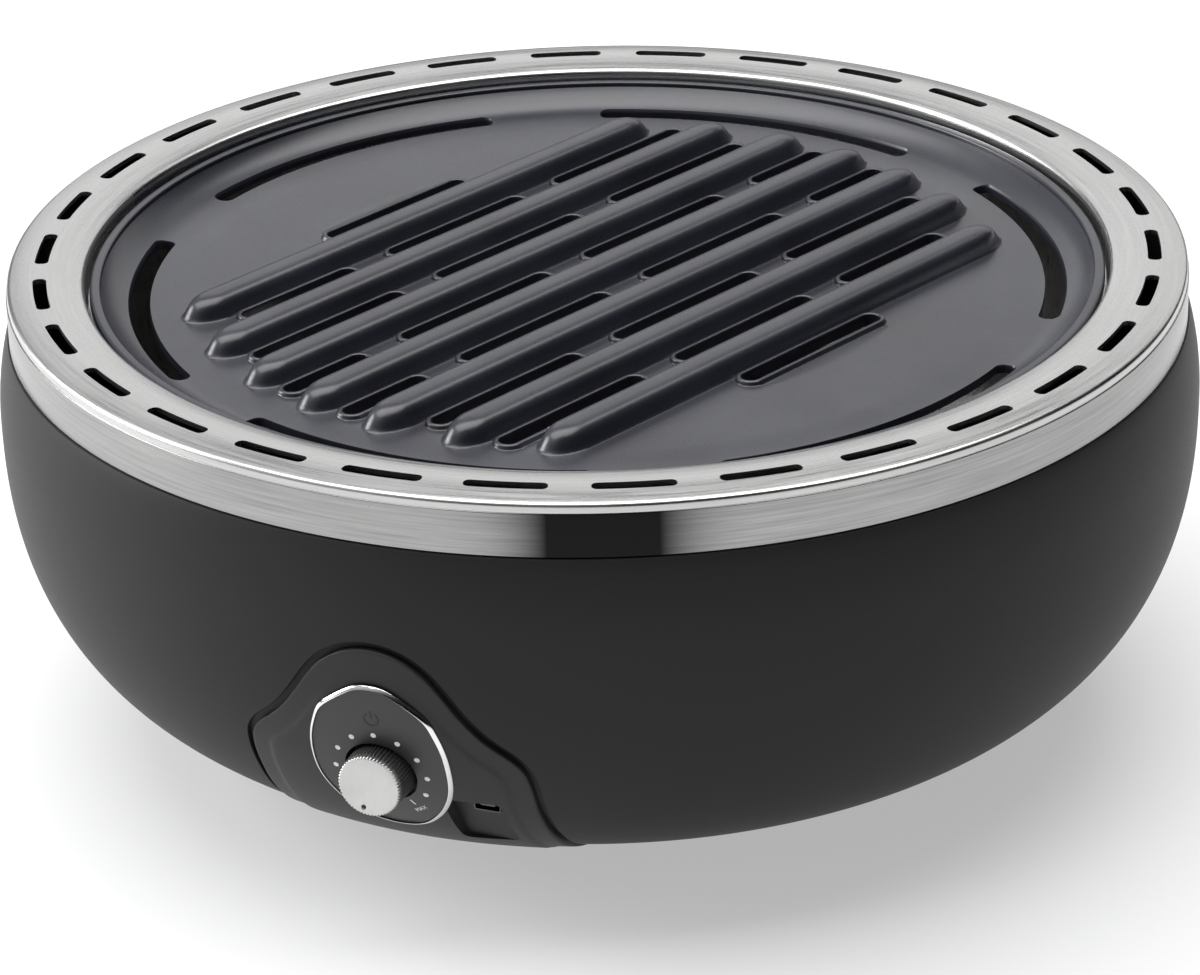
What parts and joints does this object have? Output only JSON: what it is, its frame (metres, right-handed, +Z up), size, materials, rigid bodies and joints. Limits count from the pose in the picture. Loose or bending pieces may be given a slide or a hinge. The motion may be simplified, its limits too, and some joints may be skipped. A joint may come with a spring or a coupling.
{
  "type": "charcoal grill",
  "caption": "Round tabletop charcoal grill with a ribbed cooking plate, slotted steel ring, rounded outer bowl, charcoal basket, built-in fan and a control knob on a front panel.",
  "frame": {"origin": "on the table, under the middle of the bowl", "axes": "+Z up, the control panel and the knob face -Y, +X to the right seen from the front"},
  "size_m": [0.35, 0.3539, 0.139],
  "materials": {
    "bowl_grey": "satin, fine grain",
    "polished_steel": "polished stainless steel",
    "brushed_steel": "satin stainless steel",
    "nonstick_black": "cast aluminium under a black non-stick coat, soft sheen",
    "pressed_steel": "pressed stainless steel",
    "panel_black": "satin black",
    "dial_grey": "dark grey, silk",
    "trim_chrome": "bright",
    "knob_dark": "knurled, satin",
    "knob_silver": "satin silver",
    "turned_steel": "bright turned steel",
    "board_green": "green solder mask",
    "screw_steel": "zinc plated",
    "cover_black": "moulded, fine grain",
    "foot_rubber": "matt",
    "cell_jacket": "printed jacket",
    "housing_black": "moulded",
    "rotor_black": "moulded, smooth"
  },
  "bodies": {
    "grill_base": {"outer_bowl": "bowl_grey", "rim_band": "polished_steel", "slotted_ring": "brushed_steel", "control_panel": "panel_black", "dial_plate": "dial_grey", "dial_trim": "trim_chrome", "usb_socket": "turned_steel", "control_board": "board_green", "board_screws": "screw_steel", "potentiometer": "turned_steel", "potentiometer_nut": "turned_steel", "base_cover": "cover_black", "base_screws": "screw_steel", "rubber_feet": "foot_rubber", "battery_box": "cover_black", "box_screws": "screw_steel", "battery_cells": "cell_jacket", "battery_contacts": "turned_steel", "fan_housing": "housing_black", "housing_screws": "screw_steel", "fan_motor": "turned_steel", "heat_shield": "pressed_steel", "shield_screws": "screw_steel"},
    "fire_bowl": {"inner_bowl": "pressed_steel"},
    "gel_tray": {"ignition_tray": "pressed_steel"},
    "basket": {"charcoal_basket": "pressed_steel"},
    "lid": {"basket_lid": "pressed_steel"},
    "cooking_plate": {"grill_plate": "nonstick_black"},
    "knob": {"knob_skirt": "knob_dark", "knob_cap": "knob_silver", "knob_shaft": "turned_steel"},
    "rotor": {"fan_rotor": "rotor_black", "motor_shaft": "turned_steel"},
    "cell_door": {"battery_door": "cover_black"}
  },
  "joints": [
    {"name": "fire_bowl_lift", "type": "slide", "parent": "grill_base", "child": "fire_bowl", "axis": [0, 0, 1], "range_m": [0, 0.1]},
    {"name": "gel_tray_lift", "type": "slide", "parent": "fire_bowl", "child": "gel_tray", "axis": [0, 0, 1], "range_m": [0, 0.09]},
    {"name": "basket_lift", "type": "slide", "parent": "gel_tray", "child": "basket", "axis": [0, 0, 1], "range_m": [0, 0.08]},
    {"name": "lid_lift", "type": "slide", "parent": "basket", "child": "lid", "axis": [0, 0, 1], "range_m": [0, 0.05]},
    {"name": "plate_lift", "type": "slide", "parent": "lid", "child": "cooking_plate", "axis": [0, 0, 1], "range_m": [0, 0.08]},
    {"name": "knob_turn", "type": "hinge", "parent": "grill_base", "child": "knob", "pos_m": [0, -0.17, 0.0546], "axis": [0, 1, 0], "range_deg": [0, 310]},
    {"name": "rotor_spin", "type": "hinge", "parent": "grill_base", "child": "rotor", "pos_m": [0, 0, 0.0186], "axis": [0, 0, 1], "continuous": true},
    {"name": "cell_door_swing", "type": "hinge", "parent": "grill_base", "child": "cell_door", "pos_m": [0, 0.04325, 0.0091], "axis": [-1, 0, 0], "range_deg": [0, 95]}
  ]
}
